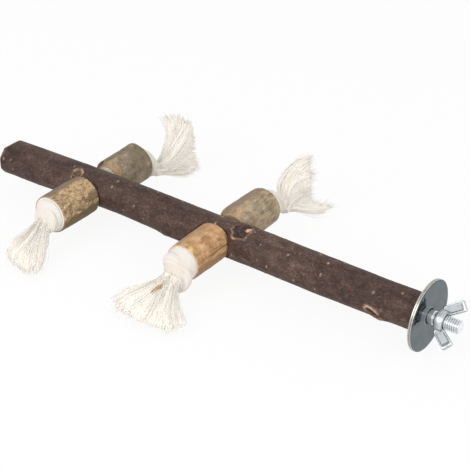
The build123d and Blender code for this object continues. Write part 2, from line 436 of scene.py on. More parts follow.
def makeBranch(material):
    # rows: free end face, then bark that the knife cuts limit, then the bolt end face; columns go round
    look = branchLook
    low, high = nodeBox("branch")
    length = high[0] - low[0]
    turn = ringTurns(look["columns"])
    face = np.linspace(0.08, 1, 16)[:, None]
    tip = np.linspace(0, 1, 30)[1:, None] * look["tip"]
    bark = np.linspace(look["tip"], length, look["rows"])[1:, None]
    bolt = np.array([0.9, 0.6, 0.3])[:, None]
    stack = rowStack((face, tip, bark, bolt), turn)
    along = stack(0, tip, bark, length)
    factor = stack(face, 1, 1, bolt)
    endFace = stack(1, 0, 0, 0)
    turn = turn + 0 * along
    radius, masks = branchRadius(low[0] + along, turn)
    cut = np.full(along.shape, 99.0)
    for angle, start, slope in knifeCuts:
        cut = np.minimum(cut, (start + slope * along) / np.maximum(np.cos(turn - radians(angle)), 0.15))
    rim = turned(along, look["radius"], turn)
    cut = cut + 0.22 * softNoise(rim, (2.5, 2.0, 2.0), 41) + 0.10 * softNoise(rim, 0.8, 43)
    whittled = ease(-0.05, 0.25, radius - cut)
    radius = np.minimum(radius, cut) * factor
    flat = np.stack([radius * np.cos(turn), radius * np.sin(turn), 0 * turn], -1)
    x = low[0] + along + endFace * (0.35 + 0.3 * softNoise(flat, 4.0, 45) - 0.35 * ease(0.9, 1.0, factor))
    points = turned(x, radius, turn)
    points[..., 2] += np.interp((x - low[0]) / length, look["stations"], look["rises"])
    seatCut = np.zeros(x.shape)
    for place in places:  # the flat that each log stands on
        near, far = nodeBox(f"log_{place}")
        side = np.sign(near[1])
        seat = min(abs(near[1]), abs(far[1])) - look["seatGap"]
        reach = (far[0] - near[0]) / 2 + look["seatMargin"]
        away = np.hypot(points[..., 0] - (near[0] + far[0]) / 2, points[..., 2])
        proud = np.maximum(side * points[..., 1] - seat, 0) * ease(reach + look["seatEdge"], reach, away)
        points[..., 1] -= side * proud
        seatCut = np.maximum(seatCut, ease(0.05, 0.5, proud))
    masks.update(bareWood=seatCut, whittled=whittled * (1 - endFace), endGrain=endFace)
    masks["fromMiddle"] = radius / look["radius"]
    roundPiece("branchBark", points, masks, material, "branch", "perch", "branch_bark")


def branchFinish():
    # dark brown bark with grey and rust patches, pale lenticels, tan cut shoots and bare ends
    finish = Finish("branch bark")
    mask, noise, band, ramp, coat = finish.mask, finish.noise, finish.band, finish.ramp, finish.coat
    broad = noise(18, 3, 0.55, (2.0, 1, 1))
    patch = noise(4.5, 5, 0.65, (1.5, 1, 1), 0.3)
    fine = noise(0.9, 4, 0.7, (1.4, 1, 1))
    grain = noise(0.7, 4, 0.6, (4, 1, 1))
    mottle = 0.30 * patch + 0.46 * fine + 0.24 * broad + 0.02 * mask("wrinkle")
    browns = (0.38, (40, 27, 23)), (0.46, (62, 44, 38)), (0.54, (83, 63, 55)), (0.67, (132, 108, 93))
    finish.base = ramp(mottle, *browns)
    rust = band(noise(7, 3, 0.6, (1.5, 1, 1)), 0.54, 0.66) * band(fine, 0.4, 0.6)
    coat(rust * 0.45, (104, 66, 52))
    moss = band(noise(12, 3, 0.6, (1.7, 1, 1), 0.4), 0.56, 0.68)
    coat(moss * 0.4, (80, 70, 58))
    fleck = band(noise(1.6, 2, 0.5, (1.3, 1, 1)), 0.64, 0.76)
    coat(fleck * 0.45, (128, 104, 90))
    pores = band(mask("pores"), 0.12, 0.75) * band(fine, 0.3, 0.55)
    coat(pores * 0.8, (188, 162, 138))
    coat(mask("scarWood"), finish.mix(band(fine, 0.4, 0.6), (78, 60, 44), (126, 104, 74)))
    coat(mask("scarPit"), ramp(fine, (0.40, (34, 22, 22)), (0.52, (60, 42, 42)), (0.66, (116, 86, 72))))
    ring = mask("scarRing") * band(fine, 0.28, 0.46)
    coat(ring, ramp(patch, (0.4, (158, 120, 92)), (0.6, (212, 178, 150))))
    coat(mask("heart"), finish.mix(fine, (206, 146, 110), (248, 214, 184)))
    coat(mask("bareWood"), ramp(grain, (0.4, (66, 38, 28)), (0.52, (106, 64, 46)), (0.64, (156, 112, 80))))
    coat(mask("whittled") * band(patch, 0.36, 0.56), (108, 70, 54))
    rings = finish.sine(40 * mask("fromMiddle") + 6 * patch)
    sawn = finish.mix(band(rings, -0.3, 1.0), (206, 178, 142), (178, 142, 104))
    coat(mask("endGrain"), finish.mix(band(grain, 0.5, 0.7) * 0.4, sawn, (140, 104, 74)))
    rough = 0.62 - 0.16 * patch + 0.14 * fine
    normal = finish.bump(0.5 * fine + 0.5 * patch, 0.34)
    return finish.shade(Roughness=rough, Normal=normal, Specular_IOR_Level=0.3)


# Logs

# Angles are degrees from the right-hand side up over the top, and out is the share of the length from the
# branch. bark is dark to light, and barkEnds where the mottling has the darkest and the lightest of them.
# Patches: which colour, its angle, out, half angle, half length as a share, and strength. flare is the angle,
# half angle and height of an outer rim that stands out on one side. crack is the angle, half width in
# radians, depth and lip of a drying crack. pale is where the inner face's pale middle ends, as a share
# The tint patches along the tops of the front logs and the rear right log are painted shade; the rear left
# log's is a dark red lip.
logLooks = {
    "front_left": dict(
        bevel=0.6, chip=0.5, seed=5, size=2.4, fineness=0.50, grainLines=0.15, pale=0.71,
        barkEnds=(0.38, 0.64), bark=[(80, 65, 49), (140, 115, 86), (188, 160, 124), (230, 209, 174)],
        light=(214, 182, 138), dark=(78, 64, 48), tint=(122, 105, 92), inner=(214, 196, 168),
        patches=[
            ("light", 66, 0.34, 36, 0.50, 0.6),
            ("dark", -26, 0.5, 28, 1.3, 0.85),
            ("dark", 26, 0.16, 16, 0.16, 0.6),
            # painted shade along the top
            ("tint", 116, 0.5, 30, 0.9, 0.9),
        ],
    ),
    "rear_left": dict(
        bevel=2.4, chip=0.4, seed=15, size=4.5, fineness=0.42, grainLines=0.4, pale=0.785,
        barkEnds=(0.37, 0.65), bark=[(98, 86, 68), (126, 112, 92), (148, 132, 110), (184, 166, 138)],
        light=(188, 154, 120), dark=(104, 96, 80), tint=(84, 46, 34), inner=(246, 240, 228),
        flare=(112, 26, 1.3),
        patches=[
            ("light", 70, 0.02, 46, 0.11, 0.7),
            # a dark red lip near the branch
            ("tint", 134, 0.06, 24, 0.09, 1.0),
            ("dark", 60, 0.75, 40, 0.25, 0.4),
        ],
    ),
    "front_right": dict(
        bevel=0.6, chip=0.9, seed=25, size=4.5, fineness=0.42, grainLines=0.5, pale=0.71,
        barkEnds=(0.37, 0.65), bark=[(146, 106, 70), (180, 138, 96), (206, 164, 120), (232, 194, 150)],
        light=(244, 206, 138), dark=(128, 98, 70), tint=(164, 134, 110), inner=(196, 160, 118),
        crack=(15, 0.045, 0.5, 0.35),
        patches=[
            ("light", 60, 0.96, 14, 0.10, 0.95),
            ("dark", -16, 0.5, 20, 0.9, 0.8),
            # painted shade along the top
            ("tint", 112, 0.5, 20, 0.6, 0.6),
        ],
    ),
    "rear_right": dict(
        bevel=3.2, chip=0.4, seed=35, size=4.5, fineness=0.48, grainLines=0.65, pale=0.71,
        barkEnds=(0.37, 0.65), bark=[(118, 104, 82), (154, 136, 110), (182, 162, 134), (212, 192, 160)],
        light=(206, 170, 130), dark=(140, 136, 124), tint=(136, 114, 100), inner=(172, 146, 112),
        patches=[
            ("light", 88, 0.08, 30, 0.14, 0.7),
            # painted shade along the top
            ("tint", 100, 0.6, 9, 0.8, 0.7),
            ("tint", 112, 0.6, 28, 1.2, 0.9),
            ("dark", 56, 0.48, 16, 0.16, 0.5),
        ],
    ),
}
logShape = dict(
    boreRadius=4.3,
    edge=0.5,
    bevelRun=1.3,  # times the bevel
    rootGirth=1.02,
    waist=1.025,
    columns=160,
    rows=((16, 0), (9, 1), (120, 1), (5, 1), (26, 1)),  # of each block, and the first that is used
    bark=((0.26, (9, 20, 9)), (0.15, (1.9, 6, 1.9)), (0.07, (0.8, 1.1, 0.8))),  # heights and sizes
)


def makeLog(place, material):
    # a thick tube: inner face, bevel, bark, outer edge and outer face, closed through its bore
    look, form = logLooks[place], logShape
    seed = look["seed"]
    node = f"log_{place}"
    low, high = nodeBox(node)
    side = np.sign(low[1])
    middle = (low[0] + high[0]) / 2
    near, far = sorted([abs(low[1]), abs(high[1])])
    length = far - near
    girth = (high[0] - low[0]) / 2 / form["waist"]
    root = girth * form["rootGirth"]
    turn = ringTurns(form["columns"])
    ring = np.stack([np.cos(turn), 0 * turn, np.sin(turn)], -1) * girth
    jag = softNoise(ring, 3.0, seed + 3) + 0.4 * softNoise(ring, 1.1, seed + 4)
    chip = look["chip"] * np.maximum(0, jag)
    bevelOut = look["bevel"] * form["bevelRun"]
    blocks = [np.linspace(0, 1, count)[first:, None] for count, first in form["rows"]]
    inner, bevel, bark, edge, outer = blocks
    stack = rowStack(blocks, turn)
    sideEnd = length - form["edge"]
    swell = (1 - (2 * bark - 1) ** 2) * girth * (form["waist"] - (1 + form["rootGirth"]) / 2)
    out = stack(
        chip * inner,
        chip * (1 - bevel) + bevelOut * bevel,
        bevelOut + (sideEnd - bevelOut) * bark,
        sideEnd + form["edge"] * edge,
        length,
    )
    skin = stack(
        root - look["bevel"],
        root - look["bevel"] * (1 - bevel),
        root + (girth - root) * bark + swell,
        girth - form["edge"] * (1 - np.sqrt(1 - edge**2)),
        girth - form["edge"],
    )
    cover = stack(inner, 1, 1, 1, 1 - outer)
    turn = turn + 0 * out
    flat = np.stack([girth * np.cos(turn), out, girth * np.sin(turn)], -1) + [0, 100 * seed, 0]
    relief, wrinkle = barkRelief(0.0, flat, form["bark"], (seed, seed + 7, seed + 9))
    masks = {"crack": 0 * out, "light": 0 * out, "dark": 0 * out, "tint": 0 * out, "wrinkle": wrinkle}
    radius = form["boreRadius"] + (skin + relief - form["boreRadius"]) * cover
    if "flare" in look:
        where, wide, amount = look["flare"]
        radius += amount * hill(turnFrom(turn, where), 0, radians(wide)) * (out / length) ** 2 * cover
    if "crack" in look:  # it wanders along the log, and its lower lip is a little proud
        where, wide, depth, proud = look["crack"]
        where = turnFrom(turn - 0.05 * softNoise(flat, (30, 4, 30), 71), where)
        run = 0.35 + 0.65 * ease(0.95 * length, 0.5 * length, out)
        masks["crack"] = hill(where, 0, wide) * run * ease(0.6, 1, cover)
        lip = ease(0.02, -0.06, where) * ease(-0.7, -0.2, where)
        radius += (proud * lip * run - depth * masks["crack"]) * ease(0.7, 1, cover)
    ragged = 0.35 * roughNoise(flat, (3.0, 4.0, 3.0), seed + 11)
    for mask, where, across, wide, long, strength in look["patches"]:
        away = np.hypot(turnFrom(turn, where) / radians(wide), (out / length - across) / long) + ragged
        masks[mask] = np.maximum(masks[mask], strength * ease(1.15, 0.7, away))
    masks["innerFace"] = stack(1, 0, 0, 0, 0)
    masks["endGrain"] = stack(0, 0, 0, 0.3 * edge, 1)
    masks["fromMiddle"] = radius / girth
    points = np.stack([middle + radius * np.cos(turn), side * (near + out), radius * np.sin(turn)], -1)
    roundPiece(f"log_{place}_bark", points, masks, material, node, node, "log_bark", ring=True)


def logFinish(place):
    # mottled bark with its own light, dark and tinted patches, the tinted ones along a log's top being
    # painted shade, over pale end grain with faint rings
    look = logLooks[place]
    finish = Finish(f"log bark {place}")
    mask, noise, band, mix, coat = finish.mask, finish.noise, finish.band, finish.mix, finish.coat
    patch = noise(look["size"], 5, 0.65, (1, 1.4, 1), 0.4)
    fine = noise(0.8, 4, 0.7, (1, 2.0, 1))
    line = noise(0.55, 3, 0.6, (1, 18.0, 1))
    lines, fineness, pale = look["grainLines"], look["fineness"], look["pale"]
    mottle = (1 - fineness) * patch + fineness * ((1 - lines) * fine + lines * line)
    darkest, lightest = look["barkEnds"]
    stops = zip((darkest, 0.46, 0.54, lightest), look["bark"])
    finish.base = finish.ramp(mottle + 0.03 * mask("wrinkle"), *stops)
    # the tint patches along the tops are painted shade
    for name in ("light", "dark", "tint"):
        coat(mask(name) * band(0.5 * fine + 0.5 * patch, 0.36, 0.56), look[name])
    coat(mask("crack") * 0.7, (76, 52, 36))
    fromMiddle = mask("fromMiddle")
    inner = mix(band(fine, 0.5, 0.7) * 0.35, look["inner"], (176, 150, 116))
    inner = mix(band(fromMiddle + 0.1 * patch, pale - 0.02, pale + 0.02), inner, look["light"])
    coat(mask("innerFace"), inner)
    rings = band(finish.sine(46 * fromMiddle + 5 * patch), -0.2, 1.0) * 0.25
    disc = mix(rings, (232, 231, 228), (226, 221, 212))
    disc = mix(band(noise(0.5, 3, 0.6), 0.5, 0.75) * 0.25, disc, (222, 212, 197))
    rim = band(fromMiddle + 0.12 * patch, 0.965, 1.01)
    disc = mix(rim, disc, mix(fine, (188, 148, 104), (226, 196, 152)))
    coat(mask("endGrain"), disc)
    rough = 0.7 - 0.12 * patch + 0.1 * fine
    normal = finish.bump(0.4 * fine + 0.25 * line + 0.35 * patch, 0.4)
    return finish.shade(Roughness=rough, Normal=normal, Specular_IOR_Level=0.3)


# Cotton: ropes, knots and frayed ends

ropeLook = dict(
    strands=3, yarns=17, strandDepth=0.06, yarnDepth=0.045, lay=30.0, yarnLay=1.7, rows=150, columns=96
)
knotLook = dict(
    reach=2.12,  # how far t runs each way in the loose knot
    size=0.62, squash=0.22, links=96,
    pulls=1300, pull=0.02, bend=0.03, sweeps=16,
    clear=1.35,  # links nearer than this many rope thicknesses along the rope may lie side by side
    spare=24,  # links at each end that are not part of the knot's body
    keep=1.9,  # half height, in rope thicknesses, of what is drawn
    plump=0.80,  # drawn radius, as a share of the thickness that holds the rope apart
    rows=110, columns=180, steps=240,
    yarns=11, yarnLay=0.11, yarnDepth=0.10,
    neck=4.3,
    gap=0.3,  # between the log's end and the knot
)
# drop and aside say where the far end hangs, taper how much it narrows, and a late knot does both far out;
# fill is the radius of the wad against the log as a share of the knot's, and soft how many times its skin is
# smoothed
knots = {
    "front_left": dict(
        radius=9.2, length=7.6, drop=3.6, aside=0.6, spin=25, taper=0.25, late=1.0, fill=1.02, soft=30
    ),
    "rear_left": dict(
        radius=10.4, length=12.8, drop=8.0, aside=3.6, spin=140, taper=0.56, late=1.9, fill=0.93, soft=8
    ),
    "front_right": dict(
        radius=10.0, length=12.0, drop=5.0, aside=1.0, spin=-35, taper=0.10, late=1.0, fill=0.97, soft=8
    ),
    "rear_right": dict(
        radius=9.9, length=12.5, drop=5.5, aside=4.0, spin=70, taper=0.58, late=1.9, fill=0.93, soft=8
    ),
}


def tightKnot():
    # a long overhand knot, x = t^3 - 3t, y = t^4 - 4t^2, z = t^5 - 10t, pulled tight: its ends are drawn
    # apart, its links keep their length, and parts of the rope nearer than its thickness push apart
    look = knotLook
    t = np.linspace(-look["reach"], look["reach"], 2000)
    line = look["size"] * np.stack([t**3 - 3 * t, t**4 - 4 * t**2, look["squash"] * (t**5 - 10 * t)], -1)
    line, even = evenLine(line, look["links"])[:2]
    step = even[1]
    first, second = np.triu_indices(look["links"], int(np.ceil(look["clear"] / step)))
    for pull in range(look["pulls"]):
        line[0, 2] -= look["pull"]
        line[-1, 2] += look["pull"]
        line[1:-1] += look["bend"] * (line[:-2] + line[2:] - 2 * line[1:-1])
        for start in [0, 1] * look["sweeps"]:
            here, after = line[start:-1:2], line[start + 1 :: 2]
            gap = after - here
            shift = 0.5 * (1 - step / np.linalg.norm(gap, axis=1, keepdims=True)) * gap
            here += shift
            after -= shift
        gap = line[second] - line[first]
        far = np.linalg.norm(gap, axis=1)
        near = far < 1
        push = 0.5 * ((1 - far[near]) / far[near])[:, None] * gap[near]
        total = np.zeros_like(line)
        hits = np.zeros(look["links"])
        for links, sign in ((first[near], -1), (second[near], 1)):
            np.add.at(total, links, sign * push)
            np.add.at(hits, links, 1)
        line += total / np.maximum(hits, 1)[:, None]
    return line


def sideways(centre):
    # two directions square to a line at every point, carried along it without twist
    ahead = unit(np.gradient(centre, axis=0))
    aside = np.zeros_like(centre)
    aside[0] = unit(np.cross(ahead[0], [0.31, 0.11, 0.94]))
    for row in range(1, len(centre)):
        aside[row] = unit(aside[row - 1] - ahead[row] * (aside[row - 1] @ ahead[row]))
    return aside, np.cross(ahead, aside)


def cottonPiece(node, points, groove, material):
    # a rope's or knot's skin, of one even tone, with painted shade in its grooves
    masks = {"groove": groove, "tone": 0 * groove + 0.4}
    roundPiece(f"{node}_cotton", points, masks, material, node, "perch", "cotton")


def makeRope(name, material):
    # one straight rope through the branch and both logs: strands and fine yarns wind round it as low ridges
    look = ropeLook
    low, high = nodeBox(name)
    middle = (low + high) / 2
    line = np.linspace([middle[0], low[1], middle[2]], [middle[0], high[1], middle[2]], 40)
    centre, even = evenLine(line, look["rows"])[:2]
    aside, above = sideways(centre)
    turn = ringTurns(look["columns"])
    wound = 2 * pi * even[:, None] / look["lay"]
    strand = np.abs(np.cos(0.5 * look["strands"] * (turn + wound)))
    yarn = np.abs(np.cos(0.5 * look["yarns"] * (turn - look["yarnLay"] * wound)))
    radius = (high[0] - low[0]) / 2
    girth = radius * (1 - look["strandDepth"] * (1 - strand) - look["yarnDepth"] * (1 - yarn))
    around = np.cos(turn)[..., None] * aside[:, None] + np.sin(turn)[..., None] * above[:, None]
    # painted shade: the grooves between strands and between yarns are coloured darker
    groove = 0.4 * (1 - strand) ** 2 + 0.6 * (1 - yarn) ** 2
    cottonPiece(name, centre[:, None] + girth[..., None] * around, groove, material)


def makeKnot(place, tight, material):
    # the outer skin of the tight knot: at each height and turn, the farthest point of the soft rope from its
    # axis, over a wad that fills the hollows against the log, then pressed into its room and sunk
    look, form = knots[place], knotLook
    low, high = nodeBox(f"log_{place}")
    side = np.sign(low[1])
    start = max(abs(low[1]), abs(high[1])) + form["gap"]
    body = tight[form["spare"] : -form["spare"]]
    middle = (body.min(0) + body.max(0)) / 2
    half = (body.max(0) - body.min(0)) / 2
    thick = look["radius"] / (0.5 * (half[0] + half[1]) + form["plump"])
    soft = form["plump"] * thick
    line = (tight[np.abs(tight[:, 2]) < form["keep"]] - middle) * thick
    line = between(np.linspace(0, len(line) - 1, form["steps"]), np.arange(len(line)), line)
    aside, above = sideways(line)
    share = np.linspace(0, 1, form["rows"])[:, None]
    height = (2 * share - 1) * (half[2] * thick + soft)
    turn = ringTurns(form["columns"])
    spun = turn[0] - radians(look["spin"])
    outward = np.stack([np.cos(spun), np.sin(spun)], -1)
    ahead = outward @ line[:, :2].T
    away = np.sum(line[:, :2] ** 2, -1) - ahead**2
    inside = soft**2 - away[None] - (height[:, :, None] - line[:, 2]) ** 2
    reach = np.where(inside > 0, ahead[None] + np.sqrt(np.maximum(inside, 0)), 0)
    winner = reach.argmax(-1)
    reach = reach.max(-1)
    spot = np.concatenate([reach[..., None] * outward, height[..., None] + 0 * reach[..., None]], -1)
    offset = spot - line[winner]
    roll = np.arctan2(np.sum(offset * above[winner], -1), np.sum(offset * aside[winner], -1))
    yarn = np.abs(np.cos(0.5 * form["yarns"] * roll + form["yarnLay"] * winner))
    wad = look["fill"] * look["radius"] * np.sqrt(np.clip(1 - (0.95 * share) ** 2.5, 0, 1))
    shown = ease(-0.4, 0.4, reach - wad)
    sunk = share ** look["late"]
    skin = np.maximum(reach, wad) * (1 - look["taper"] * sunk)
    skin = np.maximum(skin, form["neck"])
    for smoothing in range(look["soft"]):
        skin = 0.5 * skin + 0.25 * (np.roll(skin, 1, 1) + np.roll(skin, -1, 1))
        skin[1:-1] = 0.5 * skin[1:-1] + 0.25 * (skin[:-2] + skin[2:])
    skin = skin - form["yarnDepth"] * (1 - yarn) * shown
    # painted shade: the knot's creases and the grooves between its yarns are coloured darker
    creaseShade = np.clip(skin.mean(1, keepdims=True) - skin, 0, 1)
    x = skin * np.cos(turn) + (low[0] + high[0]) / 2 + look["aside"] * sunk
    y = side * (start + look["length"] * share) + 0 * skin
    points = np.stack([x, y, skin * np.sin(turn) - look["drop"] * sunk], -1)
    groove = 0.6 * (1 - yarn) ** 2 * shown + 0.4 * creaseShade
    cottonPiece(f"knot_{place}", points, groove, material)


# Frayed ends: every yarn leaves the root, passes a point on the line of mids and reaches one on the line of
# tips, both given from one edge of the fan to the other with the share of yarns there
tassels = {
    "front_left": dict(
        root=(-224.0, -48.0, -4.0), ahead=(0.12, -0.80, -0.50), neck=5.0, seed=101,
        mids=[(-226, -64, -3), (-221, -66.5, -4), (-216, -66, -6), (-214, -60, -7), (-214, -55, -7)],
        tips=[(-228, -74, -11), (-222, -76, -14), (-210, -78, -15), (-206, -73, -15), (-208, -67, -14)],
        shares=[0.9, 1.0, 1.0, 1.0, 0.9],
    ),
    "rear_left": dict(
        root=(-220.3, 53.0, -9.4), ahead=(0.35, 0.90, 0.10), neck=3.9, seed=102,
        mids=[(-225, 67, 2), (-221, 68, 3), (-216, 69, 2), (-215, 68, -4), (-215, 66, -9), (-215, 65, -13),
              (-216, 60, -15)],
        tips=[(-236, 77, 13), (-225, 79, 17), (-215, 80, 15), (-212, 80, 2), (-209, 78, -8), (-205, 77, -13),
              (-208, 70, -17)],
        shares=[0.9, 1.2, 1.1, 1.0, 0.8, 0.7, 0.5],
    ),
    "front_right": dict(
        root=(-131.0, -48.2, -5.0), ahead=(0.0, -0.85, -0.45), neck=5.8, seed=103,
        mids=[(-140, -61, -4), (-134, -66, -5), (-128, -68, -7), (-123, -67, -8), (-119, -64, -9),
              (-118, -58, -9)],
        tips=[(-151, -74, -11), (-143, -78, -13), (-131, -78, -14), (-120, -76, -14), (-112, -75, -15),
              (-106, -67, -14)],
        shares=[0.9, 1.0, 1.0, 0.9, 1.0, 0.9],
        brownStreak=[(-129.9, -58.5, -3.4), (-130.6, -64.5, -4.6)],  # a brown streak between its yarns
    ),
    "rear_right": dict(
        root=(-127.0, 56.0, -5.0), ahead=(-0.05, 0.80, 0.50), neck=4.2, seed=104,
        mids=[(-138, 65, 1), (-133, 68, 3), (-130, 69, 1), (-126, 69, -3), (-123, 67, -8), (-119, 66, -9),
              (-120, 64, -10)],
        tips=[(-128, 80, 18), (-125, 81, 18), (-122, 81, 9), (-122, 79, -2), (-120, 77, -8), (-107, 82, -8),
              (-110, 74, -11)],
        shares=[1.2, 1.3, 1.1, 0.9, 0.5, 0.6, 0.5],
    ),
}
fanLook = dict(
    rows=64, columns=520,
    thickAt=(0.0, 0.12, 0.5, 0.85, 1.0),  # shares of the way out
    thick=(3.9, 3.7, 2.8, 1.1, 0.25),  # half thickness there
    tuck=2.0,  # how far the root lies inside the knot
    reach=0.91, ragged=0.07,
    locks=0.24, yarns=0.34,
    streakReach=2.5, streakDepth=1.2,
)
# Long yarns, tip yarns and loose hairs: lift is their height over the mass, stray how far their tips wander,
# and flat the share of it that is kept within the sheet; start and reach are shares of the way out
strandLooks = [
    dict(count=210, rings=16, sides=4, radius=0.27, tipRadius=0.13, lift=0.08, stray=0.8, flat=0.88,
         start=(0.12, 0.5), reach=(0.90, 1.02)),
    dict(count=230, rings=7, sides=4, radius=0.25, tipRadius=0.12, lift=0.04, stray=1.0, flat=0.88,
         start=(0.62, 0.82), reach=(0.92, 1.04)),
    dict(count=110, rings=10, sides=3, radius=0.10, tipRadius=0.05, lift=0.3, stray=2.4, flat=0.2,
         start=(0.0, 0.3), reach=(0.85, 1.03)),
]
sway = dict(size=0.5, turns=11)  # the yarns' waves, and how many radians of them there are


def strandParts(paths, radii, sides):
    # a thin tube round every path at once: rings of points square to the path, closed at both ends; they are
    # measured from a direction that no yarn takes
    count, rings = paths.shape[:2]
    ahead = unit(np.gradient(paths, axis=1))
    aside = unit(np.cross(ahead, [0.2, -0.6, 0.77]))
    above = np.cross(ahead, aside)
    turn = ringTurns(sides)[0]
    around = np.cos(turn)[:, None] * aside[:, :, None] + np.sin(turn)[:, None] * above[:, :, None]
    points = paths[:, :, None] + radii[:, :, None, None] * around
    number = np.arange(count * rings * sides).reshape(count, rings, sides)
    here, after = number[:, :-1], number[:, 1:]
    walls = np.stack([here, after, np.roll(after, -1, axis=2), np.roll(here, -1, axis=2)], -1).reshape(-1, 4)
    return points.reshape(-1, 3), [walls, number[:, 0], number[:, -1, ::-1]]


def fanLine(look, across, share):
    # the fan's middle sheet: from each place across the neck, -1 to 1, a cubic curve sets out straight ahead,
    # passes the line of mids half way and ends on the line of tips
    tips = np.array(look["tips"], float)
    shares = np.array(look["shares"])
    gone = np.concatenate([[0], np.cumsum(shares[1:] + shares[:-1])])
    number = np.arange(len(tips))
    at = np.interp((across + 1) / 2 * gone[-1], gone, number)
    last = between(at, number, tips)
    middle = between(at, number, np.array(look["mids"], float))
    ahead = unit(np.array(look["ahead"]))
    spread = tips[-1] - tips[0]
    spread = unit(spread - ahead * (spread @ ahead))
    first = np.array(look["root"]) - fanLook["tuck"] * ahead + look["neck"] * across[:, None] * spread
    second = first + 0.25 * np.linalg.norm(last - first, axis=1, keepdims=True) * ahead
    third = (8 * middle - first - 3 * second - last) / 3
    share = share[..., None]
    back = 1 - share
    inside = 3 * back**2 * share * second[:, None] + 3 * back * share**2 * third[:, None]
    return back**3 * first[:, None] + inside + share**3 * last[:, None]


def fanFrame(look, across, share):
    # the middle sheet, the direction square to it and its half thickness
    middle = fanLine(look, across, share)
    step = 0.02
    ahead, behind = np.minimum(across + step, 1), np.maximum(across - step, -1)
    wide = fanLine(look, ahead, share) - fanLine(look, behind, share)
    square = unit(np.cross(np.gradient(middle, axis=1), wide))
    return middle, square, np.interp(share, fanLook["thickAt"], fanLook["thick"])


def brownStreakMask(look, points):
    # 1 near the line of the brown streak, fading away from it
    if "brownStreak" not in look:
        return np.zeros(points.shape[:-1])
    start, end = np.array(look["brownStreak"], float)
    along = np.clip((points - start) @ (end - start) / np.sum((end - start) ** 2), 0, 1)
    away = np.linalg.norm(points - start - along[..., None] * (end - start), axis=-1)
    return ease(fanLook["streakReach"], 0.4, away)


def fanBody(look):
    # the mass of the yarns: an oval round the middle sheet, ridged along the yarns by stretched noise, whose
    # ragged end is closed by a strip
    form, seed = fanLook, look["seed"]
    columns, rows = form["columns"], form["rows"]
    turn = (np.arange(columns) + 0.5) * 2 * pi / columns
    across, side = np.cos(turn), np.sin(turn)
    edge = np.stack([14 * across, 0 * across, 0 * across + seed], -1)
    end = form["reach"] + form["ragged"] * (softNoise(edge, 1.0, 51) + 0.6 * softNoise(3 * edge, 1.0, 53))
    share = np.linspace(0, 1, rows)[None] * end[:, None]
    middle, square, thick = fanFrame(look, across, share)
    flow = np.stack([across[:, None] + 0 * share, side[:, None] + 0 * share, share], -1)
    flow = flow + 0.04 * softNoise(flow * [4, 4, 7], 1.0, seed)[..., None] * [1, 0, 0]
    locks = softNoise(flow * [11, 2, 1.6], 1.0, seed + 1)
    yarns = softNoise(flow * [21, 3, 2.6], 1.0, seed + 2)
    fine = softNoise(flow * [46, 4, 3.4], 1.0, seed + 3)
    grown = ease(0.02, 0.25, share) * np.interp(share, (0.55, 0.95), (1.0, 0.25))
    relief = (form["locks"] * locks + form["yarns"] * (yarns + 0.45 * fine)) * grown
    points = middle + square * (thick * side[:, None])[..., None]
    brownStreak = brownStreakMask(look, points)
    outward = np.tanh(4 * side)[:, None]
    points = points + square * (outward * (relief - form["streakDepth"] * brownStreak))[..., None]
    # painted shade: the valleys between locks and yarns are coloured darker, in place of their shadows
    groove = ease(0.0, -0.7, 0.25 * locks + 0.5 * yarns + 0.6 * fine)
    number = np.arange(rows * columns).reshape(rows, columns)
    strip = np.arange(columns // 2 - 1)
    caps = np.stack([strip, strip + 1, columns - 2 - strip, columns - 1 - strip], -1)
    faceSets = [gridFaces(rows, columns, False), number[0][caps], number[-1][caps][:, ::-1]]
    masks = {"groove": groove, "tone": 0.5 + 0.5 * yarns, "brownStreak": brownStreak}
    masks = {name: values.T.ravel() for name, values in masks.items()}
    return (points.transpose(1, 0, 2).reshape(-1, 3), faceSets), masks


def fanStrands(look, form, rng):
    # strands that lie on the fan, wave, and leave it a little towards their tips
    count = form["count"]
    across = rng.uniform(-1, 1, count)
    even = np.linspace(0, 1, form["rings"])[None]
    start = rng.uniform(*form["start"], (count, 1))
    share = start + even * (rng.uniform(*form["reach"], (count, 1)) - start)
    middle, square, thick = fanFrame(look, across, share)
    side = np.where(rng.uniform(0, 1, (count, 1)) < 0.5, -1, 1)
    lift = side * (thick * np.sqrt(1 - across[:, None] ** 2) + form["lift"])
    stray = form["stray"] * rng.normal(0, 1, (count, 1, 3)) * (share**2)[..., None]
    bend = np.sin(rng.uniform(0, 2 * pi, (count, 1)) + sway["turns"] * share)[..., None]
    stray += sway["size"] * bend * unit(rng.normal(0, 1, (count, 1, 3))) * share[..., None]
    stray -= form["flat"] * np.sum(stray * square, -1, keepdims=True) * square
    radii = form["radius"] + (form["tipRadius"] - form["radius"]) * ease(0.6, 1.0, even)
    radii = radii * rng.uniform(0.8, 1.15, (count, 1))
    part = strandParts(middle + square * lift[..., None] + stray, radii, form["sides"])
    tone = np.repeat(rng.uniform(0, 1, count), form["rings"] * form["sides"])
    return part, {"groove": 0 * tone, "tone": tone, "brownStreak": brownStreakMask(look, part[0])}


def makeTassel(place, material):
    # the fan's ridged mass, the long yarns and tip yarns that lie on it, and fine loose hairs
    look = tassels[place]
    rng = np.random.default_rng(look["seed"])
    made = [fanBody(look)] + [fanStrands(look, form, rng) for form in strandLooks]
    points, faceSets = joinParts([part for part, masks in made])
    masks = {name: np.concatenate([masks[name] for part, masks in made]) for name in made[0][1]}
    node = f"tassel_{place}"
    placePiece(f"{node}_cotton", points, faceSets, masks, material, node, "perch", "cotton")


